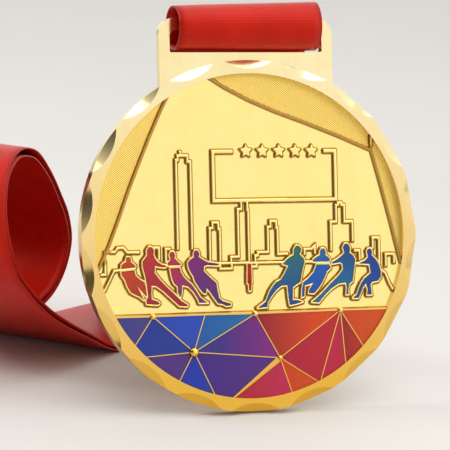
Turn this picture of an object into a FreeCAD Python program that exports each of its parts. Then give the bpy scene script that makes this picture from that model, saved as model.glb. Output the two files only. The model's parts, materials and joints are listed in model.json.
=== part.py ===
"""Sports finisher medal on a neck ribbon.

The medal is laid out flat in its own artwork frame: x to the right, y up towards
the ribbon bar, z out of the face, with the front plane of the rim at z = 0 and the
disc's centre at the origin.  One placement then stands it on the edge of its rim,
leaning back, with the face towards -Y.  The ribbon is laid out in the row frame.

Row frame: +Z up, origin where the bottom of the rim touches the table.
"""
import FreeCAD, Part
import math
import os

doc = FreeCAD.newDocument("finisher_medal")
Vec = FreeCAD.Vector

# ----------------------------------------------------------------- driving sizes
SIZES = [
    ("disc_radius", 35.0),
    ("disc_thick", 3.0),
    ("rim_inner", 32.35),
    ("field_deep", 0.9),
    ("facet_count", 18),
    ("facet_reach", 33.3),
    ("facet_curve", 9.6),
    ("facet_slope", 1.7),
    ("lug_width", 36.3),
    ("lug_top", 43.5),
    ("lug_thick", 2.0),
    ("lug_corner", 3.4),
    ("slot_width", 31.9),
    ("slot_low", 36.55),
    ("slot_tall", 4.35),
    ("slot_corner", 1.1),
    ("relief_rise", 0.5),
    ("fill_rise", 0.4),
    ("cell_rise", 2.0),
    ("wall_width", 0.26),
    ("stud_large", 1.05),
    ("stud_small", 0.68),
    ("stud_mid", 0.6),
    ("lean", 14.0),
    ("ribbon_width", 30.0),
    ("ply_thick", 0.5),
    ("strand_thick", 1.2),
    ("curl_thick", 2.0),
    ("sling_radius", 4.75),
    ("sling_height", 41.75),
]
sheet = doc.addObject("Spreadsheet::Sheet", "Sizes")
for row, (alias, value) in enumerate(SIZES, start=1):
    sheet.set("A%d" % row, alias)
    sheet.set("B%d" % row, str(value))
    sheet.setAlias("B%d" % row, alias)
doc.recompute()


def size(alias):
    """The present value of one driving size."""
    return float(sheet.get(alias))


FLOOR = -size("field_deep")
LEAN = math.radians(size("lean"))
UP = Vec(0, math.sin(LEAN), math.cos(LEAN))
OUT = Vec(0, -math.cos(LEAN), math.sin(LEAN))
CENTRE = UP * size("disc_radius") + OUT * size("disc_thick")
MEDAL_PLACE = FreeCAD.Placement(CENTRE, FreeCAD.Rotation(Vec(1, 0, 0), 90 - size("lean")))


# ----------------------------------------------------------------- small helpers
def named(kind, name):
    """A new document object whose label is its name."""
    thing = doc.addObject(kind, name)
    thing.Label = name
    return thing


def polygon(name, outline, height=FLOOR):
    """A closed wire through the outline's corners, at one height of the artwork."""
    wire = named("Part::Polygon", name)
    wire.Nodes = [Vec(x, y, height) for x, y in outline]
    wire.Close = True
    return wire


def raised(name, wire, alias):
    """A wire extruded out of the field by one of the sheet's heights."""
    solid = named("Part::Extrusion", name)
    solid.Base = wire
    solid.DirMode = "Custom"
    solid.Dir = Vec(0, 0, 1)
    solid.Solid = True
    solid.setExpression("LengthFwd", "Sizes.%s" % alias)
    return solid


def band(path, width):
    """Outline of a line of even width along a path of points, with mitred corners."""
    left = []
    right = []
    last = len(path) - 1
    for k, (x, y) in enumerate(path):
        ahead = path[min(k + 1, last)]
        behind = path[max(k - 1, 0)]
        before = unit(x - behind[0], y - behind[1]) if k > 0 else None
        after = unit(ahead[0] - x, ahead[1] - y) if k < last else None
        before = before or after
        after = after or before
        across = unit(-(before[1] + after[1]), before[0] + after[0])
        reach = width / 2 / max(0.35, across[0] * -before[1] + across[1] * before[0])
        left.append((x + across[0] * reach, y + across[1] * reach))
        right.append((x - across[0] * reach, y - across[1] * reach))
    return left + right[::-1]


def unit(x, y):
    """The direction (x, y) with length one."""
    length = math.hypot(x, y)
    return (x / length, y / length)


def inset(outline, amount):
    """A convex outline moved inwards by an even amount; it may run either way round."""
    turn = 0.0
    for k, (x, y) in enumerate(outline):
        nx, ny = outline[(k + 1) % len(outline)]
        turn += x * ny - nx * y
    side = amount if turn > 0 else -amount
    result = []
    for k, (x, y) in enumerate(outline):
        px, py = outline[k - 1]
        nx, ny = outline[(k + 1) % len(outline)]
        ax, ay = unit(x - px, y - py)
        bx, by = unit(nx - x, ny - y)
        mx, my = unit(-(ay + by), ax + bx)
        reach = side / (mx * -ay + my * ax)
        result.append((x + mx * reach, y + my * reach))
    return result


def origin_plane(body, role):
    """One of a body's own origin planes or axes."""
    for feature in body.Origin.OriginFeatures:
        if feature.Role == role:
            return feature
    raise ValueError(role)


def sketch_on(body, name, height):
    """A sketch on the body's XY plane, raised to a height."""
    sketch = body.newObject("Sketcher::SketchObject", name)
    sketch.AttachmentSupport = [(origin_plane(body, "XY_Plane"), "")]
    sketch.MapMode = "FlatFace"
    sketch.AttachmentOffset = FreeCAD.Placement(Vec(0, 0, height), FreeCAD.Rotation())
    return sketch


def circle_in(sketch, alias):
    """A circle about the sketch's origin whose radius is one of the sheet's sizes."""
    import Sketcher
    index = sketch.addGeometry(Part.Circle(Vec(0, 0, 0), Vec(0, 0, 1), size(alias)), False)
    sketch.addConstraint(Sketcher.Constraint("Coincident", index, 3, -1, 1))
    radius = sketch.addConstraint(Sketcher.Constraint("Radius", index, size(alias)))
    sketch.setExpression("Constraints[%d]" % radius, "Sizes.%s" % alias)


def rounded_loop(sketch, left, right, low, high, top_round, low_round=0.0):
    """A closed rectangle in a sketch, its upper (and lower) corners rounded."""
    corners = [
        (right, low, low_round, -90),
        (right, high, top_round, 0),
        (left, high, top_round, 90),
        (left, low, low_round, 180),
    ]
    pieces = []
    starts = []
    ends = []
    for x, y, radius, start in corners:
        if radius == 0:
            starts.append(Vec(x, y, 0))
            ends.append(Vec(x, y, 0))
            pieces.append(None)
            continue
        cx = x - radius if x == right else x + radius
        cy = y - radius if y == high else y + radius
        ring = Part.Circle(Vec(cx, cy, 0), Vec(0, 0, 1), radius)
        arc = Part.ArcOfCircle(ring, math.radians(start), math.radians(start + 90))
        pieces.append(arc)
        starts.append(arc.StartPoint)
        ends.append(arc.EndPoint)
    for k in range(4):
        if pieces[k] is not None:
            sketch.addGeometry(pieces[k], False)
        sketch.addGeometry(Part.LineSegment(ends[k], starts[(k + 1) % 4]), False)


# ------------------------------------------------- die-cast blank: disc, rim, bar
blank_body = doc.addObject("PartDesign::Body", "cast_blank")
blank_body.Label = "cast_blank"

disc_sketch = sketch_on(blank_body, "disc_outline", 0)
circle_in(disc_sketch, "disc_radius")
disc = blank_body.newObject("PartDesign::Pad", "disc")
disc.Profile = disc_sketch
disc.Reversed = True
disc.setExpression("Length", "Sizes.disc_thick")
doc.recompute()
disc_volume = disc.Shape.Volume

# A cone-shaped cutter scoops the front edge: one lens-shaped facet every 20 degrees.
facet = blank_body.newObject("PartDesign::SubtractiveCone", "facet")
facet.AttachmentSupport = [(origin_plane(blank_body, "XY_Plane"), "")]
facet.MapMode = "FlatFace"
CUTTER_DEEP = 2.6
facet.setExpression("Radius1", "Sizes.facet_curve - Sizes.facet_slope * %s" % CUTTER_DEEP)
facet.setExpression("Radius2", "Sizes.facet_curve + Sizes.facet_slope")
facet.Height = CUTTER_DEEP + 1
facet.AttachmentOffset = FreeCAD.Placement(
    Vec(0, size("facet_reach") + size("facet_curve"), -CUTTER_DEEP), FreeCAD.Rotation())
doc.recompute()

facets = blank_body.newObject("PartDesign::PolarPattern", "facets")
facets.Originals = [facet]
facets.Axis = (origin_plane(blank_body, "Z_Axis"), [""])
facets.Angle = 360
facets.setExpression("Occurrences", "Sizes.facet_count")
blank_body.Tip = facets
doc.recompute()
scooped = disc_volume - facets.Shape.Volume
if scooped < 18 * 3:
    raise RuntimeError("the rim facets cut only %.1f mm3" % scooped)

# The bar for the ribbon is a thinner plate, flush with the back of the disc.
lug_sketch = sketch_on(blank_body, "lug_outline", -size("disc_thick"))
half_lug = size("lug_width") / 2
half_slot = size("slot_width") / 2
slot_high = size("slot_low") + size("slot_tall")
rounded_loop(lug_sketch, -half_lug, half_lug, 20.0, size("lug_top"), size("lug_corner"))
rounded_loop(lug_sketch, -half_slot, half_slot, size("slot_low"), slot_high,
             size("slot_corner"), 0.3)
lug = blank_body.newObject("PartDesign::Pad", "lug")
lug.Profile = lug_sketch
lug.setExpression("Length", "Sizes.lug_thick")
blank_body.Tip = lug
doc.recompute()

field_sketch = sketch_on(blank_body, "field_outline", 0)
circle_in(field_sketch, "rim_inner")
field = blank_body.newObject("PartDesign::Pocket", "field")
field.Profile = field_sketch
field.setExpression("Length", "Sizes.field_deep")
blank_body.Tip = field
doc.recompute()
sunk = lug.Shape.Volume - field.Shape.Volume
wanted = math.pi * size("rim_inner") ** 2 * size("field_deep")
if abs(sunk - wanted) > 0.02 * wanted:
    raise RuntimeError("the field pocket removed %.1f mm3, not %.1f" % (sunk, wanted))

# ----------------------------------------------------------- raised lines of the art
SIGN = [(-3.6, 16.8), (-7.75, 16.8), (-7.75, 7.05), (18.05, 6.95), (18.05, 16.7),
        (15.6, 16.7)]
SKYLINE = {
    "tall_tower": [(-15.4, -2.4), (-15.4, 15.2), (-15.05, 15.2), (-15.05, 16.1),
                   (-13.05, 16.1), (-13.05, 14.9), (-12.45, 14.9), (-12.45, -2.4)],
    "mast": [(-14.5, 16.2), (-14.5, 17.0)],
    "left_block": [(-8.75, -4.8), (-8.75, 1.65), (-8.15, 1.65), (-8.15, 2.75),
                   (-6.95, 2.75), (-6.95, 1.5), (-6.65, 1.5), (-6.65, -5.0)],
    "centre_tower_left": [(-4.4, -5.2), (-4.4, -4.15), (-2.8, -4.15), (-2.8, 5.3),
                          (-2.05, 5.3), (-2.05, 6.8)],
    "centre_tower_right": [(-0.8, 6.8), (-0.8, 5.2), (-0.65, 5.2), (-0.65, -5.2)],
    "right_block": [(0.65, -5.2), (0.65, -4.0), (1.2, -4.0), (1.2, -3.35), (3.4, -3.35),
                    (3.4, 1.65), (4.0, 1.65), (4.0, 2.8), (5.2, 2.8), (5.2, 1.5),
                    (5.45, 1.5), (5.45, -3.8), (7.6, -3.8)],
    "right_tower": [(16.8, -3.4), (16.8, 2.4), (18.0, 2.4), (18.0, 5.75), (18.45, 5.75),
                    (18.45, 6.2), (19.2, 6.2), (19.2, 5.75), (19.75, 5.75),
                    (19.75, 2.4), (21.45, 2.4), (21.45, -1.6)],
    "right_step": [(21.7, -3.5), (22.85, -3.5), (22.85, -5.4)],
    "far_block": [(25.75, -3.2), (25.75, -1.0), (27.1, -1.0), (27.1, -6.4)],
    "end_block": [(28.5, -6.8), (28.5, -4.35), (30.3, -4.35), (30.3, -6.2)],
    "left_roofs": [(-31.3, -7.0), (-30.3, -7.0), (-30.3, -2.6), (-28.3, -2.6),
                   (-27.7, -1.85), (-26.5, -1.8), (-25.7, -2.75), (-23.3, -2.8)],
    "low_roof": [(-20.3, -1.95), (-19.3, -1.95), (-19.3, -4.4)],
    "low_wall": [(-17.9, -4.9), (-17.9, -2.25), (-16.9, -2.25)],
    "mid_roof": [(11.1, -4.1), (11.1, -2.95), (12.6, -2.95), (13.3, -2.3),
                 (13.3, -3.9)],
}
ROPE = {
    "rope": [(-9.2, -5.35), (7.6, -5.45)],
    "rope_link_left": [(-20.5, -5.4), (-17.2, -5.6)],
    "rope_link_right": [(10.6, -5.5), (13.2, -5.5)],
    "rope_link_far": [(21.4, -6.1), (24.6, -6.1)],
    "rope_coil_left": [(-6.7, -5.3), (-6.7, -6.45), (-4.3, -6.45), (-4.3, -5.3)],
    "rope_coil_right": [(-0.3, -6.2), (0.9, -6.2), (0.9, -5.3)],
    "rope_tail_left": [(-26.6, -6.1), (-28.5, -6.3), (-29.4, -8.0), (-30.6, -10.3)],
    "rope_tail_right": [(27.0, -7.0), (28.4, -8.2), (29.2, -10.2), (30.0, -11.6)],
}
BORDERS = {
    "left_panel_edge": [(-16.5, 28.4), (-18.5, 24.6), (-20.7, 19.9), (-23.0, 14.6),
                        (-25.1, 9.6), (-27.6, 3.1), (-29.4, -1.3), (-31.8, -6.2)],
    "top_panel_edge": [(-8.3, 31.6), (-4.9, 29.5), (0.0, 27.0), (5.5, 24.7),
                       (11.6, 22.5), (18.6, 19.8), (25.9, 16.7)],
    "right_panel_edge": [(25.9, 16.7), (27.7, 10.2), (29.8, 2.1), (31.8, -6.2)],
    "panel_ridge": [(25.9, 16.6), (25.9, 19.6)],
}
STAR_CENTRES = [(-0.8, 16.85), (2.65, 16.8), (6.15, 16.8), (9.6, 16.75), (13.05, 16.7)]


def star(cx, cy, points_radius, hollows_radius):
    """Ten corners of an upright five-pointed star."""
    corners = []
    for k in range(10):
        radius = points_radius if k % 2 == 0 else hollows_radius
        angle = math.radians(90 + 36 * k)
        corners.append((cx + radius * math.cos(angle), cy + radius * math.sin(angle)))
    return corners


relief = []
line_groups = [({"sign_frame": SIGN}, 0.62), (SKYLINE, 0.42), (ROPE, 0.4), (BORDERS, 0.4)]
for group, width in line_groups:
    for name, path in group.items():
        relief.append(raised(name, polygon(name + "_wire", band(path, width)), "relief_rise"))

for number, (cx, cy) in enumerate(STAR_CENTRES, start=1):
    star_wire = polygon("star_%d_wire" % number, star(cx, cy, 1.3, 0.68))
    relief.append(raised("star_%d" % number, star_wire, "relief_rise"))

# ------------------------------------------------------------ the athletes' outlines
# Each athlete is one or two sunk cells with a raised wall round them.
ATHLETES = {
    "enamel_left_1_upper": [(-25.9, -3.65), (-25.3, -3.7), (-25.05, -4.2), (-25.2, -4.55),
                            (-24.7, -4.95), (-24.2, -5.4), (-24.25, -5.75),
                            (-27.0, -6.0), (-27.05, -5.3), (-26.6, -4.85),
                            (-26.0, -4.55), (-26.1, -4.1)],
    "enamel_left_1_lower": [(-27.1, -6.5), (-24.45, -6.25), (-24.2, -7.3), (-23.3, -8.15),
                            (-22.4, -8.7), (-22.2, -9.6), (-22.0, -11.6),
                            (-23.9, -9.4), (-22.6, -12.2), (-23.4, -11.5),
                            (-24.3, -11.1), (-25.2, -10.6), (-25.9, -9.4),
                            (-26.4, -8.0), (-27.0, -7.2)],
    "enamel_left_2": [(-21.3, -1.8), (-20.7, -1.85), (-20.35, -2.4), (-20.5, -3.2),
                      (-20.2, -4.0), (-19.7, -4.7), (-18.8, -5.3), (-18.0, -5.5),
                      (-18.1, -5.9), (-19.3, -5.75), (-20.2, -5.5), (-20.35, -6.8),
                      (-19.3, -8.2), (-17.9, -9.7), (-16.3, -11.2), (-14.9, -12.6),
                      (-13.6, -13.4), (-13.8, -13.7), (-15.3, -13.55), (-16.9, -12.1),
                      (-18.6, -10.5), (-20.0, -9.5), (-21.0, -9.4), (-21.1, -10.8),
                      (-21.0, -12.1), (-19.9, -12.5), (-19.4, -12.9), (-19.8, -13.2),
                      (-22.0, -13.0), (-22.1, -12.3), (-21.7, -11.6), (-21.9, -9.6),
                      (-22.2, -7.6), (-22.7, -5.6), (-22.7, -4.6), (-22.1, -3.9),
                      (-21.7, -3.3), (-21.8, -2.5)],
    "enamel_left_3_upper": [(-16.9, -2.85), (-16.3, -2.85), (-16.05, -3.4), (-16.2, -4.0),
                            (-15.5, -4.8), (-14.8, -5.35), (-15.0, -5.5),
                            (-17.55, -5.55), (-17.55, -5.0), (-17.0, -4.5),
                            (-17.0, -4.0), (-17.2, -3.4)],
    "enamel_left_3_lower": [(-17.1, -6.05), (-15.1, -6.05), (-14.9, -6.9), (-14.3, -7.9),
                            (-13.5, -8.7), (-12.7, -9.4), (-11.8, -10.7), (-11.0, -12.0),
                            (-10.1, -12.7), (-9.4, -13.1), (-11.2, -13.05),
                            (-11.5, -12.2), (-12.4, -10.8), (-13.4, -9.8),
                            (-14.7, -9.45), (-14.85, -11.0), (-15.1, -11.9),
                            (-15.55, -11.0), (-15.6, -9.7), (-16.3, -9.1),
                            (-16.7, -8.2), (-16.9, -7.2)],
    "enamel_left_4": [(-11.9, -2.7), (-11.3, -2.7), (-11.05, -3.3), (-11.15, -3.95),
                      (-10.2, -4.6), (-9.2, -5.1), (-7.1, -5.4), (-7.1, -5.8),
                      (-9.4, -5.65), (-10.1, -5.9), (-10.2, -6.7), (-9.4, -7.6),
                      (-8.3, -8.6), (-7.6, -9.2), (-7.4, -10.6), (-7.1, -12.2),
                      (-6.3, -12.9), (-4.7, -13.4), (-4.7, -13.8), (-5.6, -13.85),
                      (-6.4, -13.45), (-7.3, -13.3), (-8.1, -12.2), (-8.9, -11.0),
                      (-9.6, -10.2), (-9.9, -11.3), (-10.4, -11.1), (-11.2, -10.1),
                      (-12.0, -8.8), (-12.4, -7.6), (-12.9, -6.9), (-13.3, -6.0),
                      (-13.4, -5.1), (-12.9, -4.45), (-12.1, -4.0), (-12.2, -3.3)],
    "enamel_right_1": [(9.3, -2.25), (9.95, -2.3), (10.4, -2.8), (10.3, -3.4), (9.95, -3.9),
                       (10.4, -4.35), (10.9, -4.8), (11.0, -5.4), (10.7, -6.5),
                       (10.35, -7.8), (10.0, -9.6), (9.1, -10.1), (8.4, -10.6),
                       (8.35, -13.1), (9.3, -13.1), (10.5, -13.5), (9.2, -13.85),
                       (7.75, -14.1), (7.5, -12.6), (7.3, -10.1), (6.0, -10.2),
                       (4.8, -11.1), (3.7, -12.4), (3.0, -13.5), (2.9, -14.35),
                       (0.9, -14.45), (1.9, -13.8), (2.7, -13.2), (3.1, -12.2),
                       (3.6, -11.1), (4.4, -10.0), (5.0, -9.4), (5.9, -9.0),
                       (6.6, -8.0), (7.6, -6.2), (6.4, -5.85), (7.3, -4.95),
                       (8.1, -4.4), (8.75, -4.1), (8.8, -3.0)],
    "enamel_right_2_upper": [(14.7, -2.95), (15.3, -2.95), (15.6, -3.5), (15.45, -4.2),
                             (16.1, -4.65), (16.5, -5.2), (16.3, -5.6), (12.8, -5.55),
                             (12.9, -5.1), (13.6, -4.6), (14.35, -4.25), (14.35, -3.5)],
    "enamel_right_2_lower": [(13.6, -6.1), (16.3, -6.15), (16.6, -6.8), (16.1, -7.3),
                             (15.7, -7.6), (15.3, -8.6), (14.6, -9.9), (13.7, -11.1),
                             (12.9, -11.9), (11.8, -11.8), (11.9, -11.1), (12.8, -9.8),
                             (11.6, -10.1), (10.95, -10.3), (10.8, -12.4),
                             (10.3, -12.6), (10.4, -11.0), (10.7, -9.6), (11.7, -8.9),
                             (12.9, -7.7)],
    "enamel_right_3": [(19.7, -2.1), (20.4, -2.1), (20.8, -2.8), (20.7, -3.9),
                       (21.5, -4.5), (21.9, -5.2), (21.7, -6.4), (21.5, -7.8),
                       (21.2, -9.7), (20.5, -10.2), (20.2, -11.3), (20.3, -12.3),
                       (19.8, -12.3), (19.95, -10.9), (19.8, -9.9), (18.2, -10.1),
                       (16.7, -11.0), (15.2, -12.3), (13.9, -13.75), (12.4, -13.6),
                       (13.4, -12.9), (14.8, -11.7), (16.4, -10.1), (18.2, -8.5),
                       (19.2, -7.3), (19.15, -6.1), (18.7, -5.8), (16.9, -6.05),
                       (17.0, -5.65), (18.0, -5.2), (19.0, -4.5), (19.6, -3.9),
                       (19.3, -2.8)],
    "enamel_right_4": [(24.75, -3.25), (25.3, -3.2), (25.55, -3.8), (25.4, -4.4),
                       (26.2, -5.2), (26.9, -6.2), (27.35, -7.6), (27.3, -9.0),
                       (26.7, -9.75), (25.5, -9.95), (25.05, -10.4), (25.3, -12.5),
                       (24.3, -12.5), (24.45, -11.3), (24.1, -10.2), (23.4, -11.0),
                       (22.9, -12.1), (22.4, -13.1), (21.2, -13.05), (22.1, -12.4),
                       (22.5, -11.3), (23.1, -10.1), (23.8, -9.2), (25.2, -8.1),
                       (24.95, -6.3), (22.5, -6.15), (24.0, -5.6), (24.7, -4.9),
                       (24.55, -4.3), (24.45, -3.7)],
    "enamel_marker_flag": [(-1.0, -5.6), (-0.3, -5.6), (-0.25, -9.2), (-0.45, -11.0),
                           (-0.75, -11.0), (-0.85, -9.6), (-1.1, -9.4)],
}

# The coloured band below the athletes: five studs joined by thin lines.
STUD_1 = (-20.8, -15.5)
STUD_2 = (0.4, -15.55)
STUD_3 = (18.5, -15.4)
STUD_LARGE = (-12.5, -22.75)
STUD_MID = (5.45, -24.5)
BAND_TOP = -15.45
TOP_JOIN = (-10.1, BAND_TOP)
BAND_LEFT = (-32.0, BAND_TOP)
BAND_RIGHT = (32.0, BAND_TOP)


def to_rim(start, rim_point):
    """A point on the line from start through rim_point, outside the rim's inner edge."""
    dx, dy = unit(rim_point[0] - start[0], rim_point[1] - start[1])
    reach = math.hypot(rim_point[0] - start[0], rim_point[1] - start[1]) + 2.5
    return (start[0] + dx * reach, start[1] + dy * reach)


RIM_A = to_rim(STUD_1, (-24.4, -20.8))
RIM_B = to_rim(STUD_LARGE, (-22.0, -23.35))
RIM_C = to_rim(STUD_LARGE, (-15.5, -28.1))
RIM_D = to_rim(STUD_LARGE, (-8.6, -30.9))
RIM_E = to_rim(STUD_MID, (-4.15, -31.85))
RIM_F = to_rim(STUD_MID, (7.7, -31.2))
RIM_G = to_rim(STUD_MID, (12.95, -29.3))
RIM_H = to_rim(STUD_3, (14.1, -28.9))
RIM_I = to_rim(STUD_3, (19.35, -25.7))
RIM_J = to_rim(STUD_3, (22.95, -22.3))
BAND = {
    "enamel_band_01": [BAND_LEFT, STUD_1, RIM_A],
    "enamel_band_02": [STUD_1, STUD_LARGE, RIM_B, (-30.5, -27.5), RIM_A],
    "enamel_band_03": [STUD_1, TOP_JOIN, STUD_LARGE],
    "enamel_band_04": [TOP_JOIN, STUD_2, STUD_LARGE],
    "enamel_band_05": [STUD_LARGE, RIM_C, (-23.5, -30.0), RIM_B],
    "enamel_band_06": [STUD_LARGE, RIM_D, RIM_C],
    "enamel_band_07": [STUD_LARGE, (4.85, -24.45), (-6.2, -33.4), RIM_D],
    "enamel_band_08": [STUD_LARGE, STUD_2, STUD_MID],
    "enamel_band_09": [STUD_2, STUD_3, STUD_MID],
    "enamel_band_10": [STUD_MID, STUD_3, RIM_H, RIM_G],
    "enamel_band_11": [STUD_3, RIM_I, RIM_H],
    "enamel_band_12": [STUD_3, RIM_J, RIM_I],
    "enamel_band_13": [STUD_3, BAND_RIGHT, (33.0, -24.0), RIM_J],
    "enamel_band_14": [(5.6, -25.0), RIM_F, (1.5, -36.0), (-6.1, -33.3)],
    "enamel_band_15": [STUD_MID, RIM_G, (11.5, -33.5), RIM_F],
}
LINE_HALF = 0.095

# ------------------------------------------------------- cells and their enamel fills
inside_rim = named("Part::Cylinder", "inside_rim")
inside_rim.setExpression("Radius", "Sizes.rim_inner")
inside_rim.setExpression("Height", "Sizes.cell_rise")
inside_rim.Placement = FreeCAD.Placement(Vec(0, 0, FLOOR), FreeCAD.Rotation())

fill_level = named("Part::Cylinder", "fill_level")
fill_level.setExpression("Radius", "Sizes.disc_radius")
fill_level.setExpression("Height", "Sizes.fill_rise")
fill_level.Placement = FreeCAD.Placement(Vec(0, 0, FLOOR), FreeCAD.Rotation())

outlines = {}
for name, outline in BAND.items():
    outlines[name] = inset(outline, LINE_HALF)
outlines.update(ATHLETES)

large = named("Part::Sphere", "stud_large_ball")
large.setExpression("Radius", "Sizes.stud_large")
large.Placement = FreeCAD.Placement(Vec(*STUD_LARGE, FLOOR + 0.4), FreeCAD.Rotation())
mid = named("Part::Sphere", "stud_mid_ball")
mid.setExpression("Radius", "Sizes.stud_mid")
mid.Placement = FreeCAD.Placement(Vec(*STUD_MID, FLOOR + 0.45), FreeCAD.Rotation())
studs = [large, mid]
for number, place in enumerate([STUD_1, STUD_2, STUD_3], start=1):
    ball = named("Part::Sphere", "stud_%d_ball" % number)
    ball.setExpression("Radius", "Sizes.stud_small")
    ball.Placement = FreeCAD.Placement(Vec(*place, FLOOR + 0.45), FreeCAD.Rotation())
    studs.append(ball)
stud_group = named("Part::MultiFuse", "all_studs")
stud_group.Shapes = studs

cells = []
fills = []
for name, outline in outlines.items():
    column = raised(name + "_column", polygon(name + "_wire", outline), "cell_rise")
    cell = named("Part::Common", name + "_cell")
    cell.Base = column
    cell.Tool = inside_rim
    cells.append(cell)
    level = named("Part::Common", name + "_level")
    level.Base = cell
    level.Tool = fill_level
    fill = named("Part::Cut", name)
    fill.Base = level
    fill.Tool = stud_group
    fills.append(fill)

# Raised walls: each athlete's outline grown by the wall's width.
for name in ATHLETES:
    grown = named("Part::Offset2D", name + "_grown")
    grown.Source = doc.getObject(name + "_wire")
    grown.Join = "Arc"
    grown.setExpression("Value", "Sizes.wall_width")
    relief.append(raised(name + "_wall", grown, "relief_rise"))

# The band stands up as one plateau before its cells are sunk into it.
plateau_wire = polygon("band_plateau_wire", [(-34, -15.15), (34, -15.15), (34, -36), (-34, -36)])
plateau = named("Part::Common", "band_plateau")
plateau.Base = raised("band_plateau_block", plateau_wire, "relief_rise")
plateau.Tool = inside_rim

art = named("Part::MultiFuse", "raised_art")
art.Shapes = relief + [plateau]
art_inside = named("Part::Common", "raised_art_inside")
art_inside.Base = art
art_inside.Tool = inside_rim
cell_group = named("Part::MultiFuse", "all_cells")
cell_group.Shapes = cells
art_walls = named("Part::Cut", "art_walls")
art_walls.Base = art_inside
art_walls.Tool = cell_group

medal = named("Part::MultiFuse", "medal_blank")
medal.Shapes = [blank_body, art_walls, stud_group]
doc.recompute()

# ----------------------------------------------------------------- the neck ribbon
# The bar loop is a single ply round the bar; every other stretch is both strands
# lying together.  A stretch is a strip of flat facets through its stations: each
# station is the strip's middle and the direction across it.
ring_outer = named("Part::Cylinder", "bar_loop_outer")
ring_outer.setExpression("Radius", "Sizes.sling_radius")
ring_outer.setExpression("Height", "Sizes.ribbon_width")
ring_inner = named("Part::Cylinder", "bar_loop_inner")
ring_inner.setExpression("Radius", "Sizes.sling_radius - Sizes.ply_thick")
ring_inner.setExpression("Height", "Sizes.ribbon_width")
axis_point = CENTRE + UP * size("sling_height") - OUT * (size("disc_thick") - size("lug_thick") / 2)
ring_place = FreeCAD.Placement(axis_point - Vec(size("ribbon_width") / 2, 0, 0),
                               FreeCAD.Rotation(Vec(0, 1, 0), 90))
ring_outer.Placement = ring_place
ring_inner.Placement = ring_place
bar_loop = named("Part::Cut", "ribbon_bar_loop")
bar_loop.Base = ring_outer
bar_loop.Tool = ring_inner


def strip_solid(stations, thick):
    """A closed solid of even thickness along stations of (middle, across, normal)."""
    half = size("ribbon_width") / 2
    rings = []
    for middle, across, normal in stations:
        a = across * half
        n = normal * (thick / 2)
        rings.append([middle - a - n, middle + a - n, middle + a + n, middle - a + n])
    faces = [Part.Face(Part.makePolygon(rings[0] + rings[0][:1])),
             Part.Face(Part.makePolygon(rings[-1] + rings[-1][:1]))]
    for near, far in zip(rings, rings[1:]):
        for k in range(4):
            j = (k + 1) % 4
            faces.append(Part.Face(Part.makePolygon([near[k], near[j], far[j], near[k]])))
            faces.append(Part.Face(Part.makePolygon([near[k], far[j], far[k], near[k]])))
    solid = Part.makeSolid(Part.makeShell(faces))
    if solid.Volume < 0:
        solid.reverse()
    return solid


def stations_along(middles, acrosses):
    """Stations with each normal square to the run of the strip and to its width."""
    stations = []
    last = len(middles) - 1
    for k, middle in enumerate(middles):
        run = middles[min(k + 1, last)] - middles[max(k - 1, 0)]
        across = Vec(acrosses[k])
        across = across - run * (across.dot(run) / run.dot(run))
        across.normalize()
        normal = across.cross(run)
        normal.normalize()
        stations.append((middle, across, normal))
    return stations


def turned(degrees):
    """The direction across the strip, turned about the vertical from +X."""
    angle = math.radians(degrees)
    return Vec(math.cos(angle), -math.sin(angle), 0)


def ribbon_stretch(name, stations, alias):
    """One stretch of ribbon as a node of its own."""
    stretch = doc.addObject("Part::Feature", name)
    stretch.Label = name
    stretch.Shape = strip_solid(stations, size(alias))
    stretch.Placement = FreeCAD.Placement()
    return stretch


# Sling: from the back of the bar loop down behind the medal to the table.
SLING = [
    (0.0, 23.02, 74.7, 0), (0.0, 23.4, 68.0, 0), (0.9, 25.4, 60.0, 5),
    (1.0, 30.0, 50.0, 14), (0.0, 36.4, 40.0, 25), (-1.9, 44.0, 30.0, 36),
    (-3.9, 51.8, 20.5, 46), (-4.6, 58.6, 12.0, 53), (-3.2, 63.9, 5.8, 57),
    (0.6, 67.8, 2.9, 57.6),
]
sling = ribbon_stretch(
    "ribbon_sling",
    stations_along([Vec(x, y, z) for x, y, z, _ in SLING], [turned(t) for _, _, _, t in SLING]),
    "strand_thick")

# On the table the strand doubles back on itself once, upper lay over lower lay, and
# the lower lay ends along the line where the curl lifts off.
RUN = Vec(0.844, 0.536, 0)
ACROSS = Vec(0.536, -0.844, 0)
CURL_AXIS = Vec(-0.785, 0.62, 0)
CURL_OUT = Vec(-0.62, -0.785, 0)
LIFT_CORNER = Vec(-15.3, 43.6, 0)
LIFT_MIDDLE = LIFT_CORNER + CURL_AXIS * (size("ribbon_width") / 2)
ABOVE = Vec(0, 0, 1)
LOWER_LEVEL = 0.6
UPPER_LEVEL = 2.1
FOLD_AT = 88.0


def on_table(distance, level):
    """A point on the strip's middle line, so far behind the line where it lifts."""
    return LIFT_MIDDLE + RUN * distance + Vec(0, 0, level)


upper_lay = ribbon_stretch(
    "ribbon_upper_lay",
    [(on_table(distance, UPPER_LEVEL), ACROSS, ABOVE) for distance in (35.5, 62, FOLD_AT)],
    "strand_thick")
lower_stations = [(on_table(distance, LOWER_LEVEL), ACROSS, ABOVE)
                  for distance in (FOLD_AT, 44, 20)]
lower_stations.append((LIFT_MIDDLE - CURL_OUT * 0.7 + Vec(0, 0, LOWER_LEVEL), CURL_AXIS * -1,
                       ABOVE))
lower_lay = ribbon_stretch("ribbon_lower_lay", lower_stations, "strand_thick")
fold = doc.addObject("Part::Feature", "ribbon_fold")
fold.Label = "ribbon_fold"
fold_edge = on_table(FOLD_AT, (LOWER_LEVEL + UPPER_LEVEL) / 2) - ACROSS * (size("ribbon_width") / 2)
fold_reach = (UPPER_LEVEL - LOWER_LEVEL + size("strand_thick")) / 2
fold_top = fold_edge + ABOVE * fold_reach
fold_low = fold_edge - ABOVE * fold_reach
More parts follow.
